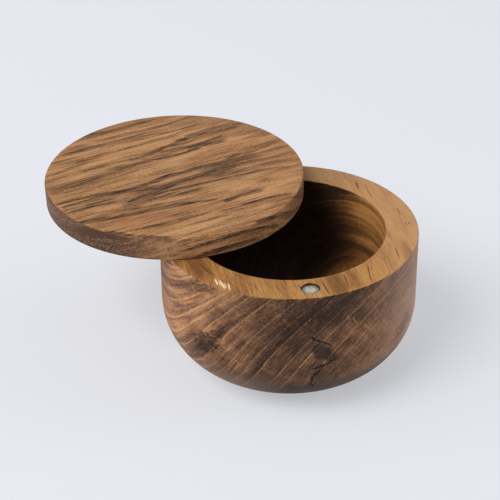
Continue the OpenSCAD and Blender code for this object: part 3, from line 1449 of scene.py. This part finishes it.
@dataclass
class Lid:
    """The disc lid, swung open."""

    sizes: Sizes
    overhang: float = 1.8
    thickness: float = 9.2
    edge_r: float = 0.8

    @property
    def radius(self) -> float:
        """Radius of the lid."""
        return self.sizes.rim_r + self.overhang

    @property
    def under(self) -> float:
        """Height of the underside."""
        return self.sizes.rim_z + self.sizes.gap

    def section(self) -> list[Point]:
        """Gives the half section of the lid, from the underside up.

        Returns:
            Radius and height of each corner in mm.
        """
        edge, low, high = self.edge_r, self.under, self.under + self.thickness
        points = [(0.0, low), (self.radius * 0.5, low)]
        points += arc((self.radius - edge, low + edge), edge, -90.0, 0.0)
        points += arc((self.radius - edge, high - edge), edge, 0.0, 90.0)
        points += [(self.radius * 0.5, high), (0.0, high)]
        return points

    def finish(self) -> LidWood:
        """Gives the lid's finish.

        Returns:
            The finish, with the places of its streaks.
        """
        tones = WoodTones(
            shade=srgb(74, 51, 37),
            brown=srgb(110, 79, 52),
            plain=srgb(143, 102, 67),
            gold=srgb(173, 126, 83),
            pale=srgb(196, 149, 103),
            red=srgb(164, 104, 68),
            dark=srgb(50, 37, 29),
            end_dark=srgb(56, 36, 24),
            end_plain=srgb(90, 62, 44),
            end_gold=srgb(124, 86, 58),
            end_pale=srgb(162, 118, 82),
            ring_line=srgb(176, 132, 92),
        )
        centre = self.sizes.swung((0.0, 0.0))
        return LidWood(
            name="lid_walnut",
            grain=Grain(30.0, centre, self.under + self.thickness),
            tones=tones,
            near_edge=self.radius,
            mauve=srgb(70, 51, 48),
            speck_pale=srgb(232, 190, 150),
            **self.marks(),
        )

    @staticmethod
    def marks() -> dict[str, tuple[Streak, ...]]:
        """Places the figure of the lid.

        Returns:
            The streaks of each kind of mark, by the name of the finish's field.
        """
        dark = streaks(
            # Far part: long fine streaks, nearly straight
            (-22, 46, -2, 45, 1.4, 0.4), (-24, 44.2, -7, 44.6, 0.9, 0.5),
            (-6, 44.6, 12, 46, 1.3, 0.45), (-31, 38.4, -20, 38.8, 1.0, 0.5),
            (-21, 38.8, 8, 39.2, 1.1, 0.45), (6, 38.8, 22, 39.6, 1.1, 0.6),
            (20, 40, 34, 41.4, 1.4, 0.4), (-40, 34.6, -20, 35.0, 0.7, 0.6),
            (-34, 34.2, -10, 35.6, 1.0, 0.6), (-12, 35.8, 6, 36.6, 0.9, 0.6),
            (-10, 32.2, 7, 31.8, 0.6, 0.4), (4, 32.3, 29, 32.6, 0.7, 0.5),
            (14, 36.2, 34, 37.8, 0.8, 0.35), (-44, 30.6, -24, 31.4, 0.7, 0.35),
            (-18, 27.0, 2, 28.0, 0.7, 0.55), (-34, 25.4, -18, 27.2, 0.8, 0.45),
            (-2, 28.6, 18, 29.2, 0.6, 0.4), (-41.6, 21.8, -25, 24.2, 0.9, 0.5),
            (-48, 20.7, -38, 21.1, 0.6, 0.6), (-34, 18.4, -19, 18.2, 0.9, 0.6),
            (-48, 17.0, -36, 17.6, 0.7, 0.3),
            # Feathered cluster right of the middle
            (6, 20.4, 20, 24.4, 1.4, 0.75), (17, 23.8, 34, 27.4, 1.9, 0.5),
            (28, 26.6, 44, 25.2, 1.8, 0.36), (18, 23.6, 42, 22.0, 1.8, 0.55),
            (-12, 17.5, -4, 17.9, 1.1, 0.6), (-6, 17.8, 7, 21.0, 1.0, 0.75),
            (-7.4, 15.2, 0, 12.6, 1.1, 0.7), (-2, 12.7, 13, 12.0, 0.8, 0.9),
            (10, 12.2, 18, 13.6, 1.0, 0.75), (13, 15.8, 23, 15.4, 1.7, 0.8),
            (20, 15.0, 30, 14.2, 1.7, 0.6), (1, 17.8, 13, 17.5, 0.6, 0.7),
            (4, 15.8, 15, 16.2, 0.6, 0.65), (-3, 15.2, 7, 14.4, 0.6, 0.6),
            (22, 17.4, 31, 17.8, 1.1, 0.6), (8, 19.6, 19, 20.0, 0.6, 0.5),
            (-2, 19.2, 4, 19.2, 0.7, 0.5),
            # Broad soft shade at the left
            (-50, 8.2, -28, 9.6, 3.2, 0.5), (-34, 10.4, -10, 12.6, 2.8, 0.42),
            (-20, 13.8, -4, 13.0, 1.6, 0.4), (-28, 7.0, -8, 8.4, 0.7, 0.35),
            (-37, 4.3, -25, 3.7, 0.6, 0.5), (-46, 5.4, -34, 5.8, 0.8, 0.35),
            # Dark streaks that part and join across the middle
            (-50, -1.5, -36, -2, 0.86, 0.9), (-50, -4.7, -34, -4.3, 0.8, 0.95),
            (-38, -2.4, -22, -5, 1.36, 1), (-31, -4.6, -14, -4.9, 1.36, 1),
            (-17, -4.8, -5, -2.4, 1.11, 1), (-8, -2.5, 8, -1.6, 1.23, 0.95),
            (4, -1.6, 24, -1.8, 1.36, 0.95), (19, -1.9, 30, 0.6, 1.11, 0.7),
            (-23, -5, -12, -8, 1.23, 1), (-14, -7.8, -3, -8.7, 1.48, 1),
            (-6, -8.4, 12, -7.8, 1.6, 0.95), (6, -8.4, 24, -6.8, 2.22, 0.8),
            (-26, -13.6, -17, -11.8, 0.99, 0.95), (-20, -12.2, -4, -9.6, 1.36, 0.95),
            (-26, -13.6, -8, -13.2, 0.74, 0.95), (-10, -13.1, 6, -13.9, 0.86, 0.95),
            (2, -13.9, 20, -14.8, 0.8, 0.9), (16, -4.6, 34, -4.4, 3.7, 0.6),
            (8, -5, 22, -4.4, 1.48, 0.5), (10, -11, 26, -11.4, 1.97, 0.45),
            (-42, -7.4, -28, -8.0, 0.9, 0.6), (-49, -9.8, -36, -9.4, 0.8, 0.85),
            (-38, -9.6, -29, -10.4, 0.86, 0.8), (-30, -15.6, -16, -16, 0.99, 0.6),
            (-19, -15.6, -6, -16.4, 1.23, 0.7), (-8, -17.4, 4, -17.4, 1.23, 0.6),
            (18, -14.6, 28, -15.8, 0.86, 0.6),
            # Near part
            (-50, -18.2, -34, -20.8, 1.5, 0.75), (-38, -20.6, -18, -23.2, 1.5, 0.75),
            (-22, -23.0, -4, -25.4, 1.2, 0.65), (-8, -25.2, 6, -28.0, 0.9, 0.6),
            (-30, -19.0, -14, -20.4, 0.8, 0.5), (6, -30.9, 15, -29.3, 1.1, 1.0),
            (12, -29.4, 24, -30.2, 0.9, 0.8), (-34, -33.2, -16, -34.4, 0.9, 0.75),
            (-18, -34.4, -1, -34.9, 0.7, 0.6), (-26, -35.4, -10, -35.6, 0.7, 0.45),
            (1, -36.4, 9, -37.0, 0.7, 0.6), (8, -36.6, 24, -36.4, 0.9, 0.75),
            (20, -36.6, 32, -38.2, 0.9, 0.65), (4, -38.9, 18, -39.8, 0.5, 0.5),
            (-18, -39.0, 0, -39.6, 0.5, 0.4), (-23, -52.6, 25, -53.2, 0.8, 0.95),
            (-21, -57.2, 14, -57.6, 1.2, 0.95), (9, -50, 22, -48.8, 1.1, 0.85),
            (20, -48.8, 36, -47.0, 1.1, 0.6), (27, -41.4, 43, -39.7, 1.2, 0.35),
            (-10, -43.2, 10, -43.8, 0.6, 0.35), (-20, -30.6, -4, -31.4, 0.5, 0.35),
            (26, -30.2, 40, -31.2, 0.6, 0.4),
            # Grey-brown fan at the right
            (28, -1.0, 50, 3.4, 1.6, 0.32), (29, -4.0, 50, -1.6, 1.6, 0.32),
            (27, -8.4, 49, -8.0, 1.4, 0.32), (26, -11.6, 48, -13.6, 1.3, 0.34),
            (26, -14.8, 44, -19.6, 1.1, 0.36), (34, 16.0, 48, 15.4, 1.2, 0.3),
            # Broad faint shade, and the dark wood on the near left edge
            (-48, -6.0, -16, -10.0, 5.5, 0.26), (-20, -6.5, 2, -11.0, 4.5, 0.24),
            (-28, -28.0, -2, -27.4, 3.0, 0.16), (-8, -17.2, 30, -18.0, 2.6, 0.16),
            (-50, 2.4, -34, 3.0, 3.0, 0.14), (-14, 15.0, 22, 15.6, 3.0, 0.12),
            (-43, -27.4, -32.6, -38.2, 1.1, 0.75), (-34, -37.0, -22, -45.4, 1.3, 0.8),
        )
        light = streaks(
            (-18, 4.6, 10, 8.6, 2.6, 0.7), (6, 8.8, 44, 15.4, 2.4, 0.6),
            (-44, 14.2, -22, 14.0, 1.6, 0.7), (-50, -3.1, -37, -3.1, 0.5, 0.9),
            (-17, -6.3, -1, -5.0, 0.8, 1.0), (-14, -12.0, 2, -11.6, 0.6, 0.9),
            (-24, 24.2, 14, 25.2, 2.0, 0.6), (-16, 30.2, 24, 30.6, 1.0, 0.5),
            (4, -17.6, 26, -25.4, 3.4, 0.7), (-24, -18.4, 2, -21.0, 0.8, 0.7),
            (14, 18.4, 26, 18.8, 1.0, 0.6), (-40, -13.4, -28, -13.6, 1.6, 0.6),
            (-34, 41.0, 4, 42.0, 1.4, 0.5), (-30, -41.6, 6, -42.0, 1.4, 0.6),
            (30, -24.4, 44, -25.6, 2.4, 0.4), (14, 26.4, 31, 26.8, 2.6, 0.7),
            (6, -40.2, 20, -41.0, 2.6, 0.6), (24, -28.0, 40, -28.4, 2.4, 0.7),
            (32, -16.2, 44, -17.0, 2.4, 0.7), (-30, 20.6, -12, 20.8, 2.2, 0.6),
        )
        reds = streaks(
            (-42, -25.4, -10, -29.4, 2.4, 0.52), (-14, -28.6, 6, -31.6, 1.6, 0.45),
            (-4, 16.6, 12, 14.8, 1.2, 0.26), (0, -33.4, 14, -33.8, 0.9, 0.39),
            (10, 6.6, 34, 9.4, 2.6, 0.26), (-34, -29.6, -14, -31, 1.2, 0.33),
        )
        specks = streaks((15.7, 24.9, 16.1, 26.0, 0.22, 0.8), (3.3, -8.4, 3.6, -7.8, 0.18, 0.4))
        # On the cut edge: along the grain, and the height from the top
        edge_marks = streaks(
            (-47.0, -1.6, -34.0, -0.6, 1.6, 0.8), (-50.0, -4.6, -44.0, -1.6, 2.0, 0.7),
            (-46.0, -6.4, -30.0, -2.0, 0.7, 0.6), (-40.0, -8.8, -8.0, -8.8, 0.7, 0.75),
            (-36.0, -5.6, -20.0, -2.8, 0.6, 0.45),
        )
        return {
            "streaks": dark,
            "glows": light,
            "reds": reds,
            "specks": specks,
            "edge_marks": edge_marks,
        }

    def build(self) -> bpy.types.Object:
        """Turns the lid, drills it, and seats it where it stands open.

        Returns:
            The lid.
        """
        sizes = self.sizes
        hole = Drilling(
            place=sizes.pin_at,
            face=self.under,
            radius=sizes.pin_r,
            depth=sizes.pin_in_lid,
            downwards=False,
        )
        pocket = Drilling(
            place=sizes.magnet_at,
            face=self.under,
            radius=sizes.magnet_r + sizes.glue_t,
            depth=sizes.lid_recess + sizes.magnet_t + sizes.glue_t,
            downwards=False,
        )
        lathe = Lathe(self.finish().material(), Lathe.WOOD_SIDES, (hole, pocket))
        lid = swung(lathe.turn("turned_lid", self.section()), sizes)
        seat(lid, Body.LID, "lid")
        return lid


@dataclass
class Catch:
    """The two disc magnets, each set in its cup of glue."""

    sizes: Sizes
    edge_r: float = 0.35
    sag: float = 0.12

    def magnet_section(self) -> list[Point]:
        """Gives the half section of a magnet that stands on zero.

        Returns:
            Radius and height of each corner in mm.
        """
        radius, thick, edge = self.sizes.magnet_r, self.sizes.magnet_t, self.edge_r
        points = [(0.0, 0.0)]
        points += arc((radius - edge, edge), edge, -90.0, 0.0)
        points += arc((radius - edge, thick - edge), edge, 0.0, 90.0)
        points += [(radius * 0.4, thick), (0.0, thick)]
        return points

    def glue_section(self) -> list[Point]:
        """Gives the half section of the glue round a magnet that stands on zero.

        Returns:
            Radius and height of each corner in mm.
        """
        radius, glue = self.sizes.magnet_r, self.sizes.glue_t
        top = self.sizes.magnet_t - self.edge_r
        points = [(0.0, -glue), (radius + glue, -glue), (radius + glue, top)]
        points += [(radius + glue * 0.5, top - self.sag), (radius, top)]
        points += arc((radius - self.edge_r, self.edge_r), self.edge_r, 0.0, -90.0)
        points += [(0.0, 0.0)]
        return points

    def build(self) -> None:
        """Turns both magnets and their glue, and seats them."""
        sizes = self.sizes
        glued = Lathe(SetGlue("set_glue", srgb(78, 72, 58), srgb(112, 104, 86)).material())
        rim_z = sizes.rim_z - sizes.rim_recess - sizes.magnet_t
        lid_z = sizes.rim_z + sizes.gap + sizes.lid_recess + sizes.magnet_t
        rim_at = (*sizes.magnet_at, rim_z)
        lid_at = (*sizes.magnet_at, lid_z)

        def over(section: list[Point]) -> list[Point]:
            """Turns a section upside down."""
            return [(radius, -height) for radius, height in section]

        magnet, cup = self.magnet_section(), self.glue_section()
        plated = Lathe(self.plating("rim", sizes.magnet_at).material())
        rim_magnet = moved(plated.turn("rim_magnet_disc", magnet), rim_at)
        seat(rim_magnet, Body.BOWL, "rim_magnet")
        rim_glue = moved(glued.turn("rim_magnet_bed", cup), rim_at)
        seat(rim_glue, Body.BOWL, "rim_magnet_glue")
        plated = Lathe(self.plating("lid", sizes.swung(sizes.magnet_at)).material())
        lid_magnet = swung(moved(plated.turn("lid_magnet_disc", over(magnet)), lid_at), sizes)
        seat(lid_magnet, Body.LID, "lid_magnet")
        lid_glue = swung(moved(glued.turn("lid_magnet_bed", over(cup)), lid_at), sizes)
        seat(lid_glue, Body.LID, "lid_magnet_glue")

    @staticmethod
    def plating(place: str, centre: Point) -> Plating:
        """Gives the plating of one magnet."""
        return Plating(
            name="nickel_plating_" + place,
            bright=srgb(230, 221, 204),
            cloud=srgb(190, 186, 170),
            rim=srgb(156, 158, 142),
            centre=centre,
        )


@dataclass
class Pin:
    """The steel pivot pin."""

    sizes: Sizes
    chamfer: float = 0.5

    def build(self) -> bpy.types.Object:
        """Turns the pin and seats it in the lid.

        Returns:
            The pin.
        """
        sizes = self.sizes
        low = sizes.rim_z - sizes.pin_in_bowl
        high = sizes.rim_z + sizes.gap + sizes.pin_in_lid
        radius, chamfer = sizes.pin_r, self.chamfer
        section = [
            (0.0, low), (radius - chamfer, low), (radius, low + chamfer),
            (radius, high - chamfer), (radius - chamfer, high), (0.0, high),
        ]
        steel = GroundSteel("ground_steel", srgb(150, 152, 156), srgb(188, 190, 194)).material()
        pin = moved(Lathe(steel).turn("pivot_rod", section), (*sizes.pin_at, 0.0))
        seat(pin, Body.LID, "pivot_pin")
        return pin


# ---- Studio ----


@dataclass(frozen=True)
class Lamp:
    """A square soft lamp: where it stands and how wide it is in metres, and its watts."""

    name: str
    place: tuple[float, float, float]
    size: float
    power: float


@dataclass
class Studio:
    """Floor, light and camera."""

    camera_at: tuple[float, float, float] = (0.0, -0.41479, 0.30517)
    camera_turn_deg: tuple[float, float, float] = (57.9988, 0.7111, 1.5960)
    lens: float = 91.9
    sensor: float = 36.0
    aim: tuple[float, float, float] = (0.0, 0.0, 0.04)
    floor_size: float = 8.0
    lamps: tuple[Lamp, ...] = (
        Lamp("key", (-1.45, -1.3, 2.3), 1.6, 60.0),
        Lamp("left", (-2.82, 0.0, 1.03), 1.6, 24.0),
        Lamp("right", (2.85, 0.1, 0.8), 1.4, 26.0),
    )
    sky: float = 0.43
    pale_share: float = 0.5

    def _hang(self, lamp: Lamp) -> None:
        """Adds a soft lamp that looks at the box.

        Args:
            lamp: The lamp.
        """
        light = bpy.data.lights.new(lamp.name, "AREA")
        light.size = lamp.size
        light.energy = lamp.power
        holder = bpy.data.objects.new(lamp.name, light)
        holder.location = lamp.place
        look = Vector(self.aim) - Vector(lamp.place)
        holder.rotation_euler = look.to_track_quat("-Z", "Y").to_euler()
        bpy.context.scene.collection.objects.link(holder)

    def _floor(self) -> None:
        """Lays the floor."""
        half = self.floor_size / 2
        mesh = bpy.data.meshes.new("floor")
        corners = [(-half, -half, 0.0), (half, -half, 0.0), (half, half, 0.0), (-half, half, 0.0)]
        mesh.from_pydata(corners, [], [(0, 1, 2, 3)])
        paper = Paper("pale_paper", srgb(231, 233, 238), srgb(227, 229, 234), self.pale_share)
        mesh.materials.append(paper.material())
        floor = bpy.data.objects.new("floor", mesh)
        bpy.context.scene.collection.objects.link(floor)

    def _sky(self) -> None:
        """Lights everything softly from all round."""
        world = bpy.data.worlds.new("sky")
        world.use_nodes = True
        book = NodeBook(world.node_tree)
        sockets = {"Color": (*srgb(246, 248, 255), 1.0), "Strength": self.sky}
        light = book.shade("ShaderNodeBackground", None, sockets)
        book.node("ShaderNodeOutputWorld", None, {"Surface": light})
        bpy.context.scene.world = world

    def _camera(self) -> None:
        """Sets the camera at the photograph's angle."""
        data = bpy.data.cameras.new("camera")
        data.lens = self.lens
        data.sensor_width = self.sensor
        camera = bpy.data.objects.new("camera", data)
        camera.location = self.camera_at
        camera.rotation_euler = Euler([math.radians(angle) for angle in self.camera_turn_deg])
        bpy.context.scene.collection.objects.link(camera)
        bpy.context.scene.camera = camera

    def build(self) -> None:
        """Sets up floor, light and camera."""
        self._floor()
        self._sky()
        for lamp in self.lamps:
            self._hang(lamp)
        self._camera()
        bpy.context.scene.view_settings.view_transform = "Standard"
        log.info("studio: floor, sky, %d lamps and camera", len(self.lamps))


def main() -> None:
    """Builds the pieces in order."""
    logging.basicConfig(level=logging.INFO, format="%(name)s: %(message)s", stream=sys.stdout)
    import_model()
    sizes = Sizes()
    Studio().build()
    Bowl(sizes).build()
    Lid(sizes).build()
    Catch(sizes).build()
    Pin(sizes).build()


if __name__ == "__main__":
    main()
